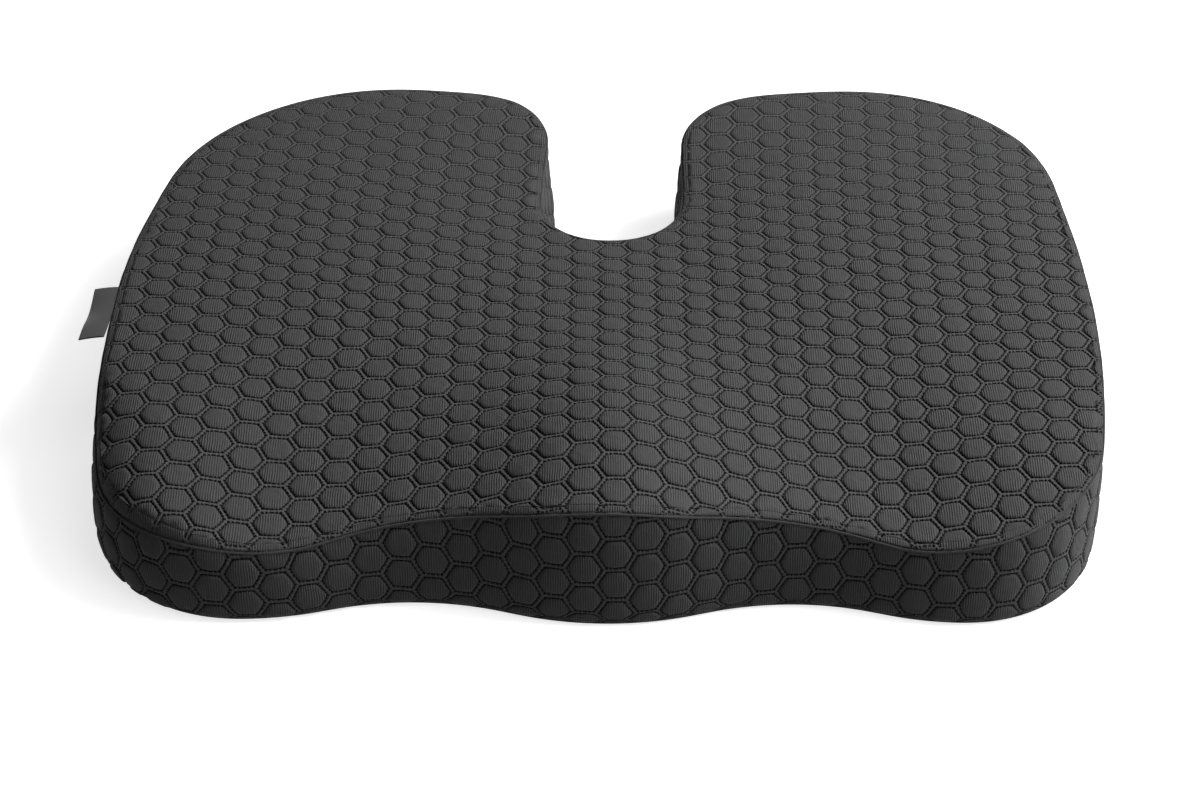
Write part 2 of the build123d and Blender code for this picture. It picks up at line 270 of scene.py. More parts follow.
class Plan:
    """The cushion's outline as a closed curve with its length, outward normals and heights."""

    def __init__(self, rim, step=0.5 * MM):
        closed = np.vstack([rim, rim[:1]])
        run = np.concatenate([[0], np.cumsum(np.hypot(*np.diff(closed, axis=0).T))])
        self.count = int(round(run[-1] / step))
        at = np.arange(self.count) * run[-1] / self.count
        loop = np.stack([np.interp(at, run, closed[:, k]) for k in range(2)], 1)
        loop = blurred(loop, 3 * MM / step)
        loop = np.roll(loop, -np.argmin(np.abs(loop[:, 0]) + 10 * (loop[:, 1] > 0)), axis=0)
        self.xy = loop
        self.step = np.hypot(*(loop - np.roll(loop, 1, axis=0)).T).mean()
        self.length = self.step * self.count
        ahead = np.roll(loop, -1, axis=0) - np.roll(loop, 1, axis=0)
        self.out = np.stack([ahead[:, 1], -ahead[:, 0]], 1)
        self.out /= np.hypot(*self.out.T)[:, None]
        self.tree = KDTree(self.count)
        for i, (x, y) in enumerate(loop):
            self.tree.insert((x, y, 0), i)
        self.tree.balance()

    def at(self, s, table):
        """A table's value at distance s along the outline."""
        place = np.asarray(s) / self.step % self.count
        low = np.floor(place).astype(int) % self.count
        share = place - np.floor(place)
        if table.ndim > 1:
            share = share[:, None]
        return table[low] * (1 - share) + table[(low + 1) % self.count] * share

    def nearest(self, points):
        """Index of the nearest point of the outline, and the distance, positive inside."""
        found = [self.tree.find((x, y, 0)) for x, y in points]
        index = np.array([f[1] for f in found])
        away = points - self.xy[index]
        inside = -np.sum(away * self.out[index], axis=1)
        distance = np.array([f[2] for f in found])
        return index, np.where(inside >= 0, distance, -distance)


def drop_rays(tree, points, fallback=0.0):
    """Height at which a ray from above meets the surface, for each point of the plan."""
    heights = []
    for x, y in points:
        hit = tree.ray_cast(Vector((x, y, 1)), Vector((0, 0, -1)))[0]
        heights.append(hit.z if hit else fallback)
    return np.array(heights)


nodes = frame["nodes"]
plan = Plan(ordered_rim(nodes["cover_bottom_panel"].data))
cad_top = tree_of(nodes["cover_top_panel"].data)
joint = {j["name"]: j for j in frame["record"]["behaviour"]["joints"]}
zip_centre = np.array(joint["slider_run"]["pos_m"])


def seam_heights():
    """Height of the top seam all round, from the ridge the CAD has there."""
    ridge = tree_of(nodes["top_seam_welt"].data)
    spots = plan.xy + plan.out * 0.35 * MM
    height = drop_rays(ridge, spots, fallback=np.nan)
    known = ~np.isnan(height)
    index = np.arange(plan.count)
    height = np.interp(index, index[known], height[known], period=plan.count)
    return blurred(height, 4 * MM / plan.step)


def zip_stretch():
    """Where the zip starts and ends along the outline."""
    points = read_points(nodes["zip_gusset_lower"].data)[:, :2] - zip_centre[:2]
    angles = np.arctan2(points[:, 1], points[:, 0])
    away = plan.xy - zip_centre[:2]
    around = np.arctan2(away[:, 1], away[:, 0])
    radius = np.hypot(*points.T).max()
    on_arc = (np.abs(np.hypot(*away.T) - radius) < 2 * MM) & (away[:, 0] > -radius / 2)
    inside = on_arc & (around > angles.min()) & (around < angles.max())
    index = np.nonzero(inside)[0]
    return index.min() * plan.step, (index.max() + 1) * plan.step


def bump_at(xy, middle, reach):
    """A round hill of height 1 on the plan."""
    return np.exp(-np.sum((xy - np.array(middle)) ** 2, axis=1) / reach**2)


plan.seam = seam_heights() - CORNER_DIP * bump_at(plan.xy, LEFT_CORNER, CORNER_SIZE)
plan.shoulder = SHOULDER + REAR_SHOULDER * smooth((plan.xy[:, 1] + 60 * MM) / (120 * MM))
plan.shoulder += CORNER_SHOULDER * bump_at(plan.xy, LEFT_CORNER, CORNER_SIZE)
zip_start, zip_end = zip_stretch()


# ---- stuffed shape: a cage of the sewn cover, filled by a cloth simulation -----------
def near_zip(s, ramp):
    """1 along the zip, falling to 0 over ramp beyond its ends."""
    return smooth((s - zip_start) / ramp + 1) * smooth((zip_end - s) / ramp + 1)


def band_column(s):
    """Points of the unstuffed band at distance s, from the base seam to the top seam."""
    xy = plan.at(s, plan.xy)
    out = plan.at(s, plan.out)
    seam = plan.at(s, plan.seam)
    bow = BAND_BOW + CORNER_BOW * bump_at(xy, LEFT_CORNER, CORNER_BOW_REACH)
    bow *= 1 - near_zip(s, 25 * MM)
    share = np.concatenate([[0, 0.05], np.linspace(0.12, 1, BAND_ROWS - 2)])
    rows = []
    for v in share:
        inset = -bow * math.sin(math.pi * v**0.75) ** 0.6 if 0 < v < 1 else np.zeros_like(s)
        if v == 0:
            inset = np.full_like(s, BASE_TUCK)
        height = BASE_Z + (seam - BASE_Z) * v
        rows.append(np.column_stack([xy - out * inset[:, None], height]))
    return np.array(rows)


def lattice_inside(step, margin):
    """Even points inside the outline, at least margin from it."""
    reach = np.abs(plan.xy).max(axis=0) + step
    rows = np.arange(-reach[1], reach[1], step * math.sqrt(0.75))
    spots = []
    for number, y in enumerate(rows):
        xs = np.arange(-reach[0], reach[0], step) + (number % 2) * step / 2
        spots.append(np.column_stack([xs, np.full_like(xs, y)]))
    spots = np.vstack(spots)
    distance = plan.nearest(spots)[1]
    return spots[distance > margin]


def filled_plan(loop, inner):
    """Triangles over a closed loop of points and the points inside it."""
    spots = [Vector(p) for p in np.vstack([loop, inner])]
    edges = [(i, (i + 1) % len(loop)) for i in range(len(loop))]
    return [tuple(f) for f in delaunay_2d_cdt(spots, edges, [], 1, 1e-6)[2]]


def sheet_faces(flat, columns, loop_at, inner_at):
    """Triangles of a filled plan, numbered as points of the whole cage."""
    return [[loop_at + i if i < columns else inner_at + i - columns for i in face] for face in flat]


def build_cage():
    """The unstuffed cover: rows of the band from base to seam, then the top, then the base."""
    columns = int(plan.length / CAGE_STEP)
    s = np.arange(columns) * plan.length / columns
    rows = band_column(s)
    band = rows.reshape(-1, 3)
    inner = lattice_inside(CAGE_STEP, 0.75 * CAGE_STEP)
    top = np.column_stack([inner, drop_rays(cad_top, inner) - SINK])
    under = lattice_inside(3 * CAGE_STEP, 2 * CAGE_STEP)
    base = np.column_stack([under, np.full(len(under), BASE_Z)])
    top_at, base_at = len(band), len(band) + len(top)
    top_faces = filled_plan(rows[-1][:, :2], inner)
    base_faces = filled_plan(rows[0][:, :2], under)
    faces = grid_faces(BAND_ROWS, columns, closed=True, flip=True)
    faces += sheet_faces(top_faces, columns, top_at - columns, top_at)
    faces += [face[::-1] for face in sheet_faces(base_faces, columns, 0, base_at)]
    parts = {"columns": columns, "s": s, "top": (top_at, base_at), "top_faces": top_faces}
    return np.vstack([band, top, base]), faces, parts


def cage_freedom(points, parts):
    """How freely each point of the cage may move, from 0 to 1, and how far at most."""
    columns, (low, high) = parts["columns"], parts["top"]
    free = np.zeros(len(points))
    for r in range(2, BAND_ROWS - 1):
        free[r * columns:(r + 1) * columns] = 1 - near_zip(parts["s"], 12 * MM)
    free[low:high] = 1
    limit = np.full(len(points), SWELL_BAND)
    limit[low:] = SWELL_TOP
    return free, limit


def stuffed(points, faces, free, limit):
    """The cage after air pressure has filled it, with each point's travel limited."""
    obj = mesh_object("cage", points, faces, body=None)
    pins = obj.vertex_groups.new(name="sewn")
    for i in np.nonzero(free < 0.999)[0]:
        pins.add([int(i)], 1 - float(free[i]), "REPLACE")
    cloth = obj.modifiers.new("cloth", "CLOTH")
    cloth.settings.use_pressure = True
    cloth.settings.uniform_pressure_force = PRESSURE
    cloth.settings.vertex_group_mass = "sewn"
    cloth.settings.effector_weights.gravity = 0
    cloth.point_cache.frame_start = 1
    cloth.point_cache.frame_end = CLOTH_FRAMES
    scene = bpy.context.scene
    for number in range(1, CLOTH_FRAMES + 1):
        scene.frame_set(number)
        bpy.context.view_layer.update()
    after = read_points(evaluated_mesh(obj))
    scene.frame_set(1)
    bpy.data.objects.remove(obj)
    move = after - points
    length = np.maximum(np.linalg.norm(move, axis=1), 1e-9)
    kept = limit * np.tanh(length / limit) / length
    return points + move * (kept * (free > 0))[:, None]


cage_start, cage_faces, cage_parts = build_cage()
cage_free, cage_limit = cage_freedom(cage_start, cage_parts)
cage = stuffed(cage_start, cage_faces, cage_free, cage_limit)
columns = cage_parts["columns"]
band_grid = cage[:BAND_ROWS * columns].reshape(BAND_ROWS, columns, 3)


def top_tree():
    """The stuffed top panel, smoothed, for rays to find."""
    low, high = cage_parts["top"]
    points = np.vstack([band_grid[-1], cage[low:high]])
    obj = mesh_object("top_form", points, cage_parts["top_faces"], body=None)
    rounder = obj.modifiers.new("round", "SUBSURF")
    rounder.levels = 2
    tree = tree_of(evaluated_mesh(obj))
    bpy.data.objects.remove(obj)
    return tree


class HeightMap:
    """Heights of the stuffed top on a fine grid, for quick reading between the points."""

    def __init__(self, tree, step=3 * MM):
        self.step = step
        self.low = plan.xy.min(axis=0) - 2 * step
        self.size = np.ceil((plan.xy.max(axis=0) + 2 * step - self.low) / step).astype(int) + 2
        xs = self.low[0] + np.arange(self.size[0]) * step
        ys = self.low[1] + np.arange(self.size[1]) * step
        spots = np.stack(np.meshgrid(xs, ys, indexing="ij"), -1).reshape(-1, 2)
        self.table = drop_rays(tree, spots, fallback=np.nan).reshape(self.size)
        middle = np.nanmean(self.table)
        self.table = np.where(np.isnan(self.table), middle, self.table)

    def __call__(self, xy):
        place = (xy - self.low) / self.step
        cell = np.clip(np.floor(place).astype(int), 1, self.size - 3)
        tx, ty = (place - cell).T
        i, j = cell.T
        rows = []
        for dj in (-1, 0, 1, 2):
            near = [self.table[i + di, j + dj] for di in (-1, 0, 1, 2)]
            rows.append(cubic(*near, tx))
        return cubic(*rows, ty)


def top_heights(xy):
    """Height of the top panel: the stuffed form, rolled over to the seam at its edge."""
    index, distance = plan.nearest(xy)
    width = plan.shoulder[index]
    inward = np.maximum(width - distance, 0)
    crown = stuffed_top(xy - plan.out[index] * inward[:, None])
    share = np.clip(distance / width, 0, 1)
    roll = np.sqrt(1 - (1 - share) ** 2)
    return plan.seam[index] + (crown - plan.seam[index]) * roll


def top_normals(xy, step=0.6 * MM):
    """Upward normals of the top panel, from its heights on each side."""
    slopes = []
    for offset in ((step, 0), (0, step)):
        slopes.append((top_heights(xy + offset) - top_heights(xy - offset)) / (2 * step))
    normals = np.column_stack([-slopes[0], -slopes[1], np.ones(len(xy))])
    return normals / np.linalg.norm(normals, axis=1)[:, None]


def cubic(a, b, c, d, t):
    """Catmull-Rom value between b and c."""
    return b + 0.5 * t * (c - a + t * (2 * a - 5 * b + 4 * c - d + t * (3 * (b - c) + d - a)))


def on_band(s, v):
    """Points of the stuffed band at distances s and at shares v of its height."""
    across = np.asarray(s) / plan.length * columns
    c0 = np.floor(across).astype(int)
    tc = (across - c0)[:, None]
    up = np.clip(v, 0, 1) * (BAND_ROWS - 1)
    r0 = np.minimum(np.floor(up).astype(int), BAND_ROWS - 2)
    tr = (up - r0)[:, None]
    rows = []
    for dr in (-1, 0, 1, 2):
        r = np.clip(r0 + dr, 0, BAND_ROWS - 1)
        near = [band_grid[r, (c0 + dc) % columns] for dc in (-1, 0, 1, 2)]
        rows.append(cubic(*near, tc))
    return cubic(*rows, tr)


stuffed_top = HeightMap(top_tree())


def band_normals(s, v):
    """Outward normals of the stuffed band, from its points on each side."""
    step_s, step_v = 1.5 * MM, 0.03
    along = on_band(s + step_s, v) - on_band(s - step_s, v)
    up = on_band(s, np.clip(v + step_v, 0, 1)) - on_band(s, np.clip(v - step_v, 0, 1))
    normal = np.cross(along, up)
    return normal / np.linalg.norm(normal, axis=1)[:, None]


# ---- honeycomb quilting --------------------------------------------------------------
def pad_template():
    """One pad: its points in the plane, their heights, how far out they lie, and its faces."""
    radius = PAD_ACROSS / math.sqrt(3)
    corners = [Vector((math.cos(k * math.pi / 3), math.sin(k * math.pi / 3))) for k in range(6)]
    outer = []
    for k in range(6):
        for j in range(EDGE_POINTS):
            spot = corners[k].lerp(corners[(k + 1) % 6], j / EDGE_POINTS)
            outer.append((spot.x, spot.y, j == 0, radius * abs(j / EDGE_POINTS - 0.5)))
    size = len(outer)
    points = [(0, 0)]
    heights = [PAD_PROFILE[0][1]]
    reach = [0.0]
    along = [0.0]
    for share, height in PAD_PROFILE[1:]:
        pull = PAD_CORNER * (1 - smooth((share - 0.8) / 0.2))
        for x, y, corner, from_middle in outer:
            scale = radius * share * (1 - pull * corner)
            points.append((x * scale, y * scale * PAD_SQUASH))
            heights.append(height)
            reach.append(share)
            along.append(from_middle)
    faces = [(0, 1 + j, 1 + (j + 1) % size) for j in range(size)]
    faces += [[1 + i for i in face] for face in grid_faces(len(PAD_PROFILE) - 1, size, closed=True)]
    return np.array(points), np.array(heights), np.column_stack([reach, along]), faces


def turned(angle):
    return np.array([[math.cos(angle), -math.sin(angle)], [math.sin(angle), math.cos(angle)]])


cloth_turn = turned(PAD_TURN)


def puff_of(column, row):
    """Each pad's own share of the height: the same pad always gets the same one."""
    mixed = np.sin(column * 12.9898 + row * 78.233) * 43758.5453
    return 1 + PAD_VARIES * (2 * (mixed - np.floor(mixed)) - 1)


def drift_of(cloth):
    """How far the pattern wanders from its even lattice."""
    return DRIFT * np.column_stack([wave_noise(*cloth.T, 21, 0.11), wave_noise(*cloth.T, 22, 0.09)])


def honeycomb(low, high, keep):
    """Pads over a rectangle of cloth, where keep(centres) is true. Shared borders are one."""
    template, heights, reach, faces = pad_template()
    first = [math.floor(low[0] / PAD_COLUMN) - 1, math.floor(low[1] / PAD_ROW) - 1]
    last = [math.ceil(high[0] / PAD_COLUMN) + 1, math.ceil(high[1] / PAD_ROW) + 1]
    cells = []
    for i in range(first[0], last[0] + 1):
        for j in range(first[1], last[1] + 1):
            cells.append((i, j + 0.5 * (i % 2)))
    cells = np.array(cells)
    centres = cells * (PAD_COLUMN, PAD_ROW)
    kept = keep(centres)
    centres = centres[kept]
    puff = puff_of(*cells[kept].T)
    points = (centres[:, None, :] + template[None]).reshape(-1, 2)
    lift = np.where(heights > PAD_RAISED, heights * puff[:, None], heights[None, :]).ravel()
    reach = np.tile(reach, (len(centres), 1))
    faces = np.array([list(f) + [-1] * (4 - len(f)) for f in faces])
    offset = (np.arange(len(centres)) * len(template))[:, None, None]
    faces = np.where(faces[None] < 0, -1, faces[None] + offset).reshape(-1, 4)
    keys = np.round(points / (0.02 * MM)).astype(np.int64)
    keys = keys[:, 0] * 10_000_000 + keys[:, 1]
    first_seen, place = np.unique(keys, return_index=True, return_inverse=True)[1:]
    faces = np.where(faces < 0, -1, place[faces])
    return points[first_seen], lift[first_seen], reach[first_seen], faces


def tidy_faces(points, faces):
    """Faces with a real area and only the points they use."""
    kept = []
    for face in faces:
        ring = []
        for i in face:
            if i >= 0 and i not in ring:
                ring.append(int(i))
        if len(ring) > 2:
            kept.append(ring)
    corners = [points[ring[:3]] for ring in kept]
    corners = np.array(corners)
    last = np.array([points[ring[-1]] for ring in kept])
    area = np.linalg.norm(np.cross(corners[:, 1] - corners[:, 0], corners[:, 2] - corners[:, 0]), axis=1)
    area += np.linalg.norm(np.cross(corners[:, 2] - corners[:, 0], last - corners[:, 0]), axis=1)
    kept = [ring for ring, size in zip(kept, area) if size > 1e-10]
    used = np.unique(np.concatenate([np.array(r) for r in kept]))
    place = np.full(len(points), -1)
    place[used] = np.arange(len(used))
    return used, [[int(place[i]) for i in ring] for ring in kept]


def merged_at_seam(faces, clamped, points, grid=0.12 * MM):
    """Joins points that were gathered onto a seam in the same spot."""
    keys = np.round(points / grid).astype(np.int64)
    joined = {}
    place = np.arange(len(points))
    for i in np.nonzero(clamped)[0]:
        place[i] = joined.setdefault(tuple(keys[i]), i)
    return np.where(faces < 0, -1, place[faces])


def on_plan(cloth):
    """Where points of the top panel's cloth lie on the plan."""
    return cloth @ cloth_turn.T + PAD_ORIGIN


def on_cloth(xy):
    """Which points of the top panel's cloth lie at these places of the plan."""
    return (xy - PAD_ORIGIN) @ cloth_turn


def laid_on_top(xy, lift, depth=0.0):
    """Points of the quilting over the stuffed form, and the pads' heights that are left."""
    distance = np.maximum(plan.nearest(xy)[1], 0)
    heights = top_heights(xy) - depth
    heights += TOP_WAVES * wave_noise(*xy.T, 5, 0.07) * smooth(distance / (25 * MM))
    fade = TOP_EDGE + (1 - TOP_EDGE) * smooth((distance - 0.8 * MM) / PAD_FADE)
    fade *= smooth(distance / (1.5 * MM))
    fade *= 1 - REAR_CALM * smooth((xy[:, 1] + 20 * MM) / (150 * MM))
    points = np.column_stack([xy, heights]) + top_normals(xy) * (lift * fade)[:, None]
    return points, lift * fade


def top_pads():
    """The pads of the top panel, trimmed where its hem begins."""
    reach = np.abs(plan.xy).max(axis=0) + np.abs(PAD_ORIGIN) + 20 * MM

    def keep(centres):
        return plan.nearest(on_plan(centres))[1] > -PAD_ACROSS * 0.62

    cloth, lift, share, faces = honeycomb(-reach, reach, keep)
    xy = on_plan(cloth) + drift_of(cloth)
    index, distance = plan.nearest(xy)
    outside = distance < HEM
    xy[outside] = plan.xy[index[outside]] - plan.out[index[outside]] * HEM
    points, lift = laid_on_top(xy, lift)
    used, kept = tidy_faces(points, merged_at_seam(faces, outside, points))
    return points[used], cloth[used], share[used], lift[used], kept


def top_hem():
    """The edge of the top panel, as an even grid that carries the same pads."""
    count = int(plan.length / HEM_STEP)
    s = np.arange(count) * plan.length / count
    xy, out = plan.at(s, plan.xy), plan.at(s, plan.out)
    insets = (HEM + HEM_LAP) * (1 - np.arange(HEM_ROWS) / (HEM_ROWS - 1)) ** HEM_CROWDING
    rim = np.vstack([xy - out * inset for inset in [*insets, SEAM_INSET]])
    depth = np.repeat([HEM_LAP / 2, *np.zeros(HEM_ROWS - 1), CREVICE], count)
    cloth = on_cloth(rim - drift_of(on_cloth(rim)))
    share, lift = pad_at(cloth)
    points, lift = laid_on_top(rim, lift, depth)
    return points, cloth, share, lift, grid_faces(HEM_ROWS + 1, count, closed=True)


def quilted_top():
    """The top panel: honeycomb pads over the stuffed form, and a hem sewn in at the outline."""
    pads, hem = top_pads(), top_hem()
    points, cloth, share, lift = (np.concatenate(pair) for pair in zip(pads[:-1], hem[:-1]))
    faces = pads[-1] + [[i + len(pads[0]) for i in face] for face in hem[-1]]
    obj = mesh_object("quilted_top_panel", points, faces, node="cover_top_panel")
    store_weave(obj, cloth, share, lift)
    return obj


def nearest_pad(cloth):
    """Place of each point from the middle of its pad, and that pad's share of the height."""
    best = np.full(len(cloth), np.inf)
    near = np.zeros_like(cloth)
    puff = np.ones(len(cloth))
    base = np.floor(cloth[:, 0] / PAD_COLUMN)
    for number in (base, base + 1):
        shift = 0.5 * (number % 2)
        level = np.round(cloth[:, 1] / PAD_ROW - shift) + shift
        away = cloth - np.column_stack([number * PAD_COLUMN, level * PAD_ROW])
        away[:, 1] /= PAD_SQUASH
        distance = np.sum(away**2, axis=1)
        closer = distance < best
        best = np.where(closer, distance, best)
        near[closer] = away[closer]
        puff = np.where(closer, puff_of(number, level), puff)
    return near, puff


def pad_at(cloth):
    """Place in its pad and height of any points of the cloth, by the same rules as the pads."""
    near, puff = nearest_pad(cloth)
    share = np.zeros(len(cloth))
    along = np.zeros(len(cloth))
    for k in range(3):
        angle = math.radians(30 + 60 * k)
        across = np.abs(near @ (math.cos(angle), math.sin(angle))) / (PAD_ACROSS / 2)
        tangent = np.abs(near @ (-math.sin(angle), math.cos(angle)))
        along = np.where(across > share, tangent / np.maximum(across, 0.05), along)
        share = np.maximum(share, across)
    shares, heights = np.array(PAD_PROFILE).T
    lift = np.interp(share, shares, heights)
    return np.column_stack([share, along]), np.where(lift > PAD_RAISED, lift * puff, lift)


def quilted_band():
    """The side band: the same cloth in a strip from one end of the zip round to the other."""
    begin, end = zip_end, zip_start + plan.length
    tallest = plan.seam.max()

    def keep(centres):
        s, h = centres.T
        inside = (s > begin - PAD_ACROSS) & (s < end + PAD_ACROSS)
        return inside & (h > -PAD_ACROSS) & (h < plan.at(s, plan.seam) + PAD_ACROSS)

    cloth, lift, share, faces = honeycomb((begin, 0), (end, tallest), keep)
    s, h = (cloth + drift_of(cloth)).T
    height = plan.at(s, plan.seam) - BASE_Z
    v = h / height
    low, high = BAND_TRIM
    clamped = (v < low) | (v > high) | (s < begin) | (s > end)
    v = np.where(v > high, 1.0, np.where(v < low, 0.0, v))
    s = np.clip(s, begin, end)
    edge = np.minimum(v * height, (1 - v) * height)
    edge = np.minimum(edge, np.minimum(s - begin, end - s))
    fade = smooth((edge - 0.4 * MM) / PAD_FADE) ** 0.7
    normals = band_normals(s, v)
    waves = BAND_WAVES * wave_noise(s, h, 7, 0.06) * smooth(edge / (14 * MM))
    points = on_band(s, v) + normals * (lift * fade)[:, None] + normals * waves[:, None]
    used, kept = tidy_faces(points, merged_at_seam(faces, clamped, points))
    obj = mesh_object("quilted_side_band", points[used], kept, node="cover_side_band")
    store_weave(obj, cloth[used], share[used], lift[used] * fade[used])
    return obj


def sideways(points):
    """How far each point of the unevenly lying cushion is moved to the right."""
    x, y, z = points.T
    half_width = abs(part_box("cover_top_panel")[1][0])
    # the shift of the sides ends at different places on the left and on the right
    end = np.where(x < 0, -30 * MM, 140 * MM)
    ramp = np.where(x > 0, 160 * MM, 80 * MM)
    shift = SIDE_SHIFT * (x / half_width) ** 2 * smooth((end - y) / ramp)
    lean = REAR_LEAN * (np.maximum(y + 60 * MM, 0) / (235 * MM)) ** 3
    shift += lean * (1 - 0.6 * bump_at(points[:, :2], RIGHT_WALL, WALL_REACH))
    by_zip = smooth((x - 60 * MM) / (40 * MM)) * smooth((y - 30 * MM) / (40 * MM))
    high = smooth((z - zip_centre[2] - 5 * MM) / (18 * MM))
    return shift * (1 - by_zip * (1 - high))


def notch_wall(points):
    """1 low down on the notch's walls, falling to 0 away from them."""
    x, y, z = points.T
    beside = smooth(1 - (np.abs(x) - 36 * MM) / (25 * MM)) * smooth((y - 50 * MM) / (30 * MM))
    return beside * smooth((165 * MM - y) / (30 * MM)) * smooth(1 - z / (45 * MM))


def settle(obj):
    """Lets a soft piece lie slightly unevenly, except low down at the zip, which stays true."""
    points = read_points(obj.data)
    shift = sideways(points)
    full = np.clip(points[:, 2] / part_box("cover_top_panel")[1][2], 0, 1)
    points[:, 2] += RIGHT_LIFT * bump_at(points[:, :2], RIGHT_THIGH, THIGH_REACH) * full
    for side in (-1, 1):
        points[:, 1] += LOBE_FULL * bump_at(points[:, :2], (side * LOBE_SPOT[0], LOBE_SPOT[1]), LOBE_REACH)
    points[:, 0] += shift - np.sign(points[:, 0]) * NOTCH_PINCH * notch_wall(points)
    obj.data.vertices.foreach_set("co", points.ravel())
    obj.data.update()
    return obj


def store_weave(obj, cloth, share, lift):
    """Cloth coordinates in millimetres, the place in the pad, and the pad's height there."""
    point_data(obj, "weave", np.column_stack([cloth / MM, share[:, 0]]))
    point_data(obj, "stitch", np.column_stack([share[:, 1] / MM, share[:, 0], lift / MM]))


# ---- seams ---------------------------------------------------------------------------
def tube(name, path, radius, node, sides=8):
    """Round cord along a closed path of points."""
    count = len(path)
    ahead = np.roll(path, -1, axis=0) - np.roll(path, 1, axis=0)
    ahead /= np.linalg.norm(ahead, axis=1)[:, None]
    side = np.cross(ahead, (0, 0, 1))
    side /= np.linalg.norm(side, axis=1)[:, None]
    up = np.cross(side, ahead)
    angles = np.arange(sides) * 2 * math.pi / sides
    cos, sin = np.cos(angles)[None, :, None], np.sin(angles)[None, :, None]
    ring = side[:, None] * cos + up[:, None] * sin
    points = (path[:, None] + ring * radius).reshape(-1, 3)
    faces = grid_faces(count + 1, sides, closed=True, flip=True)
    faces = [[i % (count * sides) for i in face] for face in faces]
    obj = mesh_object(name, points, faces, node=node)
    run = np.repeat(np.arange(count) * np.linalg.norm(path[1] - path[0]), sides)
    point_data(obj, "weave", np.column_stack([run / MM, np.tile(angles, count), np.ones(len(run))]))
    return obj


def top_seam_ridge():
    """Folded edge of the band that stands up along the top seam."""
    s = np.arange(0, plan.length, 1.6 * MM)
    wobble = SEAM_WOBBLE * wave_noise(s, s * 0, 41, 0.05)
    xy = plan.at(s, plan.xy) + plan.at(s, plan.out) * (SEAM_OUT + wobble)[:, None]
    path = np.column_stack([xy, plan.at(s, plan.seam) - SEAM_DROP + wobble])
    return tube("top_seam_ridge", path, SEAM_RADIUS, "top_seam_welt")


def bottom_seam_ridge():
    """The same ridge where the band meets the underside."""
    s = np.arange(0, plan.length, 2.5 * MM)
    xy = plan.at(s, plan.xy) - plan.at(s, plan.out) * (BASE_TUCK - 0.1 * MM)
    path = np.column_stack([xy, np.full(len(s), BASE_Z + 0.1 * MM)])
    return tube("bottom_seam_ridge", path, SEAM_RADIUS, "bottom_seam_welt", sides=6)


# ---- base, zip surround, label -------------------------------------------------------
def base_panel():
    """Anti-slip cloth of the underside, with a shallow turned edge."""
    s = np.arange(0, plan.length, 4 * MM)
    xy, out = plan.at(s, plan.xy), plan.at(s, plan.out)
    middle_z = BASE_Z - 0.35 * MM
    edge = ((BASE_TUCK, BASE_Z + 0.3 * MM), (BASE_TUCK + 1.5 * MM, BASE_Z - 0.3 * MM), (9 * MM, middle_z))
    rings = [np.column_stack([xy - out * inset, np.full(len(s), z)]) for inset, z in edge]
    inner = lattice_inside(12 * MM, 15 * MM)
    points = np.vstack([*rings, np.column_stack([inner, np.full(len(inner), middle_z)])])
    count = len(s)
    faces = grid_faces(len(rings), count, closed=True)
    flat = filled_plan(rings[-1][:, :2], inner)
    faces += [face[::-1] for face in sheet_faces(flat, count, 2 * count, 3 * count)]
    obj = mesh_object("base_panel", points, faces, node="cover_bottom_panel")
    point_data(obj, "weave", np.column_stack([points[:, :2] / MM, np.zeros(len(points))]))
    return obj


def gusset_strip(name, node, low, high, profile):
    """Plain strip of the band beside the zip, folded under along the zip's edge."""
    s = np.linspace(zip_start, zip_end, 90)
    xy, out = plan.at(s, plan.xy), plan.at(s, plan.out)
    low, high = np.broadcast_to(low, s.shape), np.broadcast_to(high, s.shape)
    rows = []
    for share, depth in profile:
        rows.append(np.column_stack([xy + out * depth * MM, low + (high - low) * share]))
    points = np.vstack(rows)
    obj = mesh_object(name, points, grid_faces(len(rows), len(s), flip=True), node=node)
    point_data(obj, "weave", np.column_stack([np.tile(s, len(rows)), points[:, 2], points[:, 2] * 0]) / MM)
    return obj


def zip_surround():
    """The two strips of plain cloth above and below the zip."""
    window_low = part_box("zip_gusset_lower")[1][2]
    window_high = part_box("zip_gusset_upper")[0][2]
    seam = plan.at(np.linspace(zip_start, zip_end, 90), plan.seam)
    upper = gusset_strip("gusset_upper", "zip_gusset_upper", window_high, seam, UPPER_GUSSET)
    lower = gusset_strip("gusset_lower", "zip_gusset_lower", BASE_Z, window_low, LOWER_GUSSET)
    return upper, lower


def side_label():
    """Blank satin ribbon, folded double and sewn into the left seam, waving a little."""
    (x0, y0, z0), (x1, y1, z1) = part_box("side_label")
    across, along = 12, 28
    outward = np.arange(across + 1) / across
    # one ply out from the seam, the fold, and the other ply back
    out = np.concatenate([outward, [1.035], outward[::-1]])[:, None]
    ply = np.concatenate([np.ones(across + 1), [0], -np.ones(across + 1)])[:, None]
    v = np.arange(along + 1) / along
    x = x1 + LABEL_SEWN_IN - (x1 - x0) * out
    y = y0 + (y1 - y0) * v - 0.4 * LABEL_SKEW * out * (1 - 0.4 * v)
    wave_height = LABEL_WAVE * np.sin(2.2 * math.pi * v + 0.4) * out
    thickness = (z1 - z0) / 2 * 0.55 * ply * (1 - 0.25 * out)
    z = (z0 + z1) / 2 + wave_height - LABEL_DROOP * out**1.6 + thickness
    points = np.stack(np.broadcast_arrays(x, y, z), -1).reshape(-1, 3)
    faces = grid_faces(len(out), along + 1, flip=True)
    obj = mesh_object("side_label_ribbon", points, faces, node="side_label")
    point_data(obj, "weave", points * (1, 1, 0) / MM)
    return obj


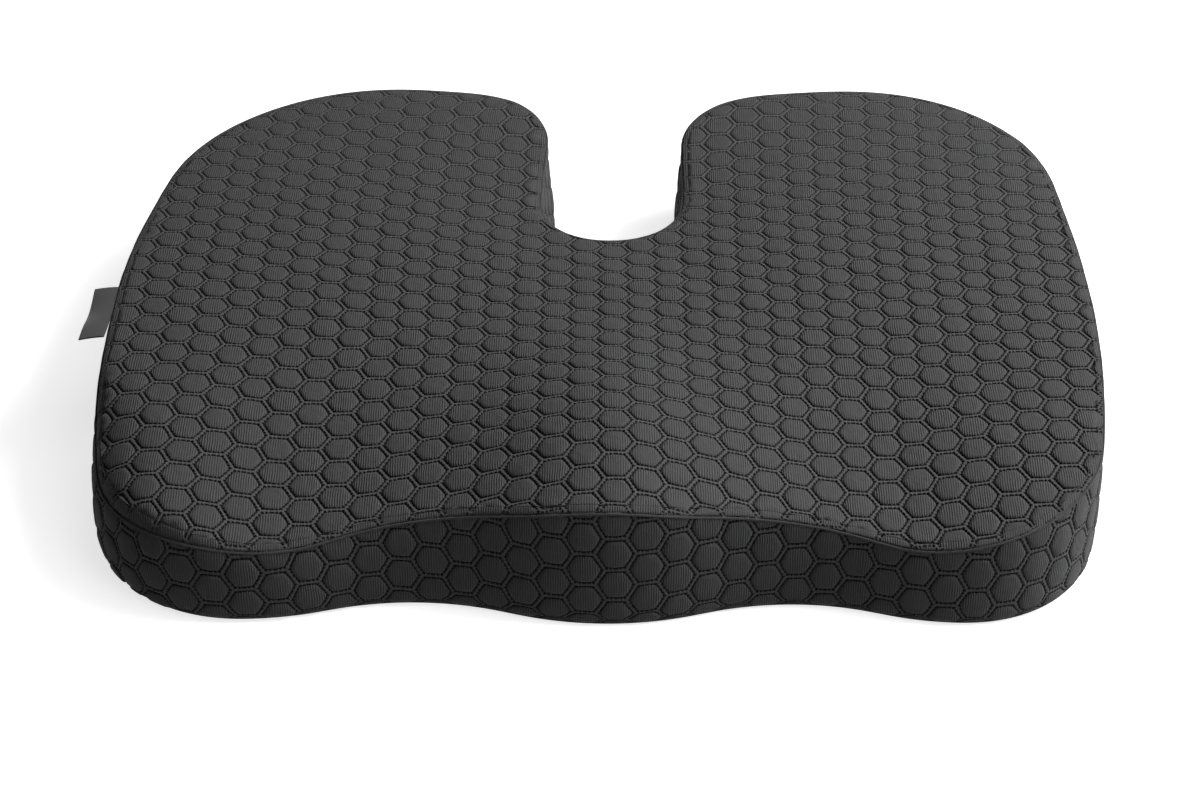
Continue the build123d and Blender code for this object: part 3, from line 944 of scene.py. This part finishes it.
# ---- filling -------------------------------------------------------------------------
def filling(name, node, inset):
    """Closed block inside the cover: the stuffed cage moved inwards."""
    obj = mesh_object(name, cage, cage_faces, node=node)
    normals = np.array([v.normal[:] for v in obj.data.vertices])
    if np.sum(normals[-1]) > 0:
        obj.data.flip_normals()
        normals = -normals
    depth = np.full(len(cage), inset)
    behind = np.zeros(len(cage))
    mask = near_zip(cage_parts["s"], 10 * MM)
    for r in range(BAND_ROWS):
        behind[r * columns:(r + 1) * columns] = mask
    window = smooth(1.6 - np.abs(cage[:, 2] - zip_centre[2]) / (11 * MM))
    depth += ZIP_ROOM * behind * window
    for number, point in enumerate(cage - normals * depth[:, None]):
        obj.data.vertices[number].co = point
    rounder = obj.modifiers.new("round", "SUBSURF")
    rounder.levels = rounder.render_levels = 1
    point_data(obj, "weave", cage / MM)
    return obj


# ---- materials -----------------------------------------------------------------------
class Maker:
    """Short hand for building a node material."""

    def __init__(self, name):
        self.material = bpy.data.materials.new(name)
        self.material.use_nodes = True
        self.tree = self.material.node_tree
        self.shader = self.tree.nodes["Principled BSDF"]

    def node(self, kind, **settings):
        made = self.tree.nodes.new(kind)
        for key, value in settings.items():
            setattr(made, key, value)
        return made

    def link(self, start, end):
        self.tree.links.new(start, end)

    def set(self, **values):
        for key, value in values.items():
            self.shader.inputs[key.replace("_", " ")].default_value = value

    def math(self, operation, a, b=None, c=None, clamp=False):
        made = self.node("ShaderNodeMath", operation=operation, use_clamp=clamp)
        for socket, value in zip(made.inputs, (a, b, c)):
            if value is None:
                continue
            if isinstance(value, (int, float)):
                socket.default_value = value
            else:
                self.link(value, socket)
        return made.outputs[0]

    def attribute(self, name):
        return self.node("ShaderNodeAttribute", attribute_name=name)

    def noise(self, vector, scale, detail=2.0, roughness=0.5):
        made = self.node("ShaderNodeTexNoise")
        made.inputs["Scale"].default_value = scale
        made.inputs["Detail"].default_value = detail
        made.inputs["Roughness"].default_value = roughness
        self.link(vector, made.inputs["Vector"])
        return made.outputs["Fac"]

    def split(self, vector):
        made = self.node("ShaderNodeSeparateXYZ")
        self.link(vector, made.inputs[0])
        return made.outputs

    def blend(self, factor, a, b):
        """Number a where the factor is 0, number b where it is 1."""
        made = self.node("ShaderNodeMix", data_type="FLOAT")
        for socket, value in zip(made.inputs[:1] + made.inputs[2:4], (factor, a, b)):
            self.link(value, socket)
        return made.outputs[0]

    def mix(self, factor, dark, light):
        made = self.node("ShaderNodeMix", data_type="RGBA")
        self.link(factor, made.inputs["Factor"])
        for socket, value in ((made.inputs[6], dark), (made.inputs[7], light)):
            if isinstance(value, tuple):
                socket.default_value = (*value, 1.0)
            else:
                self.link(value, socket)
        return made.outputs[2]

    def colour(self, output):
        self.link(output, self.shader.inputs["Base Color"])

    def bump(self, height, distance, strength=1.0):
        made = self.node("ShaderNodeBump")
        made.inputs["Distance"].default_value = distance
        made.inputs["Strength"].default_value = strength
        self.link(height, made.inputs["Height"])
        self.link(made.outputs["Normal"], self.shader.inputs["Normal"])

    def rough(self, output):
        self.link(output, self.shader.inputs["Roughness"])


def wave(maker, value, pitch, phase=0.0):
    """A sine between 0 and 1 with the given pitch."""
    turn = maker.math("MULTIPLY_ADD", value, 2 * math.pi / pitch, phase)
    return maker.math("MULTIPLY_ADD", maker.math("SINE", turn), 0.5, 0.5)


def quilt_material():
    """Dark honeycomb knit: fine ribs on the pads, rows of stitch holes along the borders, and painted shade
    darkening the grooves between the pads.
    """
    maker = Maker("quilt_knit")
    weave = maker.attribute("weave").outputs["Vector"]
    s, t, share = maker.split(weave)
    along, _, lift = maker.split(maker.attribute("stitch").outputs["Vector"])
    border = maker.math("MULTIPLY_ADD", share, 20.0, -15.9, clamp=True)
    patchy = maker.noise(weave, 0.09, 3.0)
    fuzz = maker.noise(weave, 2.4, 3.0, 0.7)
    crumple = maker.noise(weave, 0.22, 2.0)
    ribs = wave(maker, maker.math("MULTIPLY_ADD", crumple, 0.8, s), RIB_PITCH)
    courses = maker.math("MULTIPLY_ADD", wave(maker, t, COURSE_PITCH), 0.3, 0.7)
    ribs = maker.math("MULTIPLY", ribs, courses)
    clear = maker.math("MULTIPLY_ADD", patchy, 2.0, -0.55, clamp=True)
    ribs = maker.math("MULTIPLY_ADD", maker.math("SUBTRACT", ribs, 0.5), clear, 0.5)
    from_border = maker.math("MULTIPLY", maker.math("SUBTRACT", 1.0, share), PAD_ACROSS / 2 / MM)
    rows = wave(maker, from_border, STITCH_ROWS, -math.pi / 2)
    holes = maker.math("MULTIPLY", wave(maker, along, STITCH_PITCH), rows)
    slope = REAR_CALM / CALM_LENGTH
    calm = maker.math("MULTIPLY_ADD", t, slope, -CALM_START * slope, clamp=True)
    strength = maker.math("MULTIPLY_ADD", calm, 1.7, -1.7)
    stitches = maker.math("MULTIPLY_ADD", holes, strength, 0.76)
    pattern = maker.blend(border, ribs, stitches)
    height = maker.math("MULTIPLY_ADD", fuzz, 0.4, pattern)
    height = maker.math("MULTIPLY_ADD", crumple, 1.6, height)
    maker.bump(height, 0.00034, 1.0)
    tone = maker.math("MULTIPLY_ADD", pattern, 0.8, maker.math("MULTIPLY_ADD", fuzz, 0.55, -0.25))
    tone = maker.math("MULTIPLY_ADD", patchy, 0.2, tone, clamp=True)
    # painted shade: the knit's colour is darkened where the pads' height is low, in the grooves between pads
    # where shade falls
    painted_groove_shade = maker.math("MULTIPLY_ADD", lift, 1.9, 0.85, clamp=True)
    tone = maker.math("MULTIPLY", tone, maker.math("MULTIPLY_ADD", painted_groove_shade, 0.7, 0.3))
    maker.colour(maker.mix(tone, KNIT_DARK, KNIT_LIGHT))
    maker.set(Roughness=0.85, Sheen_Weight=0.08, Sheen_Roughness=0.4)
    maker.shader.inputs["Specular IOR Level"].default_value = 0.2
    return maker.material


def cloth_material(name, dark, light, pitch, roughness=0.85, depth=0.00012):
    """Plain weave with a fine over and under of threads."""
    maker = Maker(name)
    weave = maker.attribute("weave").outputs["Vector"]
    s, t, _ = maker.split(weave)
    threads = maker.math("MULTIPLY", wave(maker, s, pitch), wave(maker, t, pitch))
    fuzz = maker.noise(weave, 1.8, 3.0, 0.65)
    maker.bump(maker.math("MULTIPLY_ADD", fuzz, 0.6, threads), depth)
    tone = maker.math("MULTIPLY_ADD", threads, 0.5, maker.math("MULTIPLY", fuzz, 0.5))
    maker.colour(maker.mix(tone, dark, light))
    maker.set(Roughness=roughness, Sheen_Weight=0.2, Sheen_Roughness=0.5)
    maker.shader.inputs["Specular IOR Level"].default_value = 0.25
    return maker.material


def solid_material(name, dark, light, scale, roughness, metal=0.0, depth=0.00005):
    """Rubber, nylon, foam or painted metal: mottled, on object coordinates."""
    maker = Maker(name)
    place = maker.node("ShaderNodeTexCoord").outputs["Object"]
    mottle = maker.noise(place, scale, 4.0, 0.6)
    maker.colour(maker.mix(mottle, dark, light))
    maker.rough(maker.math("MULTIPLY_ADD", mottle, 0.2, roughness - 0.1))
    maker.bump(mottle, depth)
    maker.set(Metallic=metal)
    return maker.material


def satin_material():
    """Woven satin ribbon: fine lines along it and a soft gloss."""
    maker = Maker("label_satin")
    weave = maker.attribute("weave").outputs["Vector"]
    lines = wave(maker, maker.split(weave)[0], 0.45)
    fuzz = maker.noise(weave, 1.2, 2.0)
    tone = maker.math("MULTIPLY_ADD", lines, 0.3, maker.math("MULTIPLY", fuzz, 0.7))
    maker.colour(maker.mix(tone, (0.035, 0.035, 0.037), (0.085, 0.085, 0.088)))
    maker.bump(tone, 0.00006)
    maker.set(Roughness=0.42, Sheen_Weight=0.2)
    return maker.material


def paint(obj, material):
    """Gives a piece its material, in a single slot."""
    obj.data.materials.clear()
    obj.data.materials.append(material)


# ---- put it together -----------------------------------------------------------------
quilt = quilt_material()
seam_cloth = cloth_material("seam_cloth", (0.014, 0.014, 0.015), (0.062, 0.062, 0.064), 0.8)
base_cloth = cloth_material("base_cloth", (0.010, 0.010, 0.011), (0.045, 0.045, 0.047), 1.4, depth=0.0002)
liner_cloth = cloth_material("liner_cloth", (0.50, 0.50, 0.49), (0.72, 0.72, 0.70), 1.0)
care_cloth = cloth_material("care_satin", (0.70, 0.70, 0.68), (0.85, 0.85, 0.83), 0.5, roughness=0.5)
satin = satin_material()
foam = solid_material("foam", (0.58, 0.55, 0.45), (0.72, 0.69, 0.60), 900, 0.9, depth=0.0003)
rubber = solid_material("dot_rubber", (0.010, 0.010, 0.010), (0.028, 0.028, 0.028), 700, 0.6)
zip_cloth = solid_material("zip_tape", (0.010, 0.010, 0.011), (0.035, 0.035, 0.037), 1500, 0.85, depth=0.0002)
nylon = solid_material("zip_nylon", (0.012, 0.012, 0.013), (0.030, 0.030, 0.032), 500, 0.42)
metal = solid_material("zip_metal", (0.020, 0.020, 0.021), (0.045, 0.045, 0.047), 900, 0.38, metal=0.6)

top = settle(quilted_top())
paint(top, quilt)
band = settle(quilted_band())
paint(band, quilt)
paint(settle(top_seam_ridge()), seam_cloth)
paint(settle(bottom_seam_ridge()), seam_cloth)
paint(settle(base_panel()), base_cloth)
for strip in zip_surround():
    paint(settle(strip), seam_cloth)
paint(settle(side_label()), satin)
block = settle(filling("foam_block", "foam_core", FOAM_INSET))
paint(block, foam)
liner = settle(filling("liner_sock", "inner_liner", LINER_INSET))
paint(liner, liner_cloth)


def finish_cad_nodes():
    """Materials and softened edges for the nodes whose CAD shape is right."""
    looks = {
        "grip_dots": rubber,
        "care_label": care_cloth,
        "zip_tape": zip_cloth,
        "zip_teeth": nylon,
        "zip_top_stops": metal,
        "zip_bottom_stop": metal,
        "zip_slider": metal,
        "zip_pull": metal,
    }
    softened = {"zip_slider": 0.25 * MM, "zip_pull": 0.3 * MM, "zip_teeth": 0.22 * MM, "grip_dots": 0.15 * MM}
    for name, obj in nodes.items():
        for start, material in looks.items():
            if name.startswith(start):
                obj.data.materials.clear()
                obj.data.materials.append(material)
        for start, width in softened.items():
            if name.startswith(start):
                edge = obj.modifiers.new("soft_edges", "BEVEL")
                edge.width = width
                edge.segments = 2
                edge.limit_method = "ANGLE"


finish_cad_nodes()


# ---- floor, light and camera ---------------------------------------------------------
def floor():
    """Pale table that glows a little, as a light table does, and casts no light upwards."""
    corners = [(x * TABLE_REACH, y * TABLE_REACH, 0) for x, y in ((-1, -1), (1, -1), (1, 1), (-1, 1))]
    obj = mesh_object("floor", corners, [(0, 1, 2, 3)], body=None, shade=False)
    maker = Maker("floor_paper")
    place = maker.node("ShaderNodeTexCoord").outputs["Object"]
    grain = maker.noise(place, 60, 2.0)
    maker.colour(maker.mix(grain, (0.88, 0.88, 0.88), (0.90, 0.90, 0.90)))
    maker.set(Roughness=0.9, Emission_Color=(1, 1, 1, 1), Emission_Strength=TABLE_GLOW)
    maker.shader.inputs["Specular IOR Level"].default_value = 0.0
    paint(obj, maker.material)
    obj.visible_diffuse = False


def area_light(name, place, size, power):
    """Square soft light that points at the cushion."""
    lamp = bpy.data.lights.new(name, "AREA")
    lamp.size = size
    lamp.energy = power
    obj = bpy.data.objects.new(name, lamp)
    obj.location = place
    obj.rotation_euler = (Vector(AIM) - Vector(place)).to_track_quat("-Z", "Y").to_euler()
    bpy.context.collection.objects.link(obj)


def studio():
    """Three soft lights and a very dim sky."""
    world = bpy.data.worlds.new("studio")
    world.use_nodes = True
    background = world.node_tree.nodes["Background"]
    background.inputs["Color"].default_value = (1, 1, 1, 1)
    background.inputs["Strength"].default_value = SKY
    bpy.context.scene.world = world
    for name, place, size, power in LIGHTS:
        area_light(name, place, size, power)


def camera():
    """Standing in front of the cushion, a little right of the middle, looking down at it."""
    level = Vector((math.sin(CAMERA_YAW), math.cos(CAMERA_YAW), 0))
    right = Vector((math.cos(CAMERA_YAW), -math.sin(CAMERA_YAW), 0))
    forward = level * math.cos(CAMERA_PITCH) - Vector((0, 0, math.sin(CAMERA_PITCH)))
    lens = bpy.data.cameras.new("camera")
    lens.sensor_width = 36.0
    lens.lens = CAMERA_LENS
    obj = bpy.data.objects.new("camera", lens)
    up = right.cross(forward)
    turn = Matrix((right, up, -forward)).transposed().to_4x4()
    obj.matrix_world = Matrix.Translation(CAMERA_PLACE) @ turn
    bpy.context.collection.objects.link(obj)
    bpy.context.scene.camera = obj


floor()
studio()
camera()
bpy.context.scene.view_settings.view_transform = "Standard"
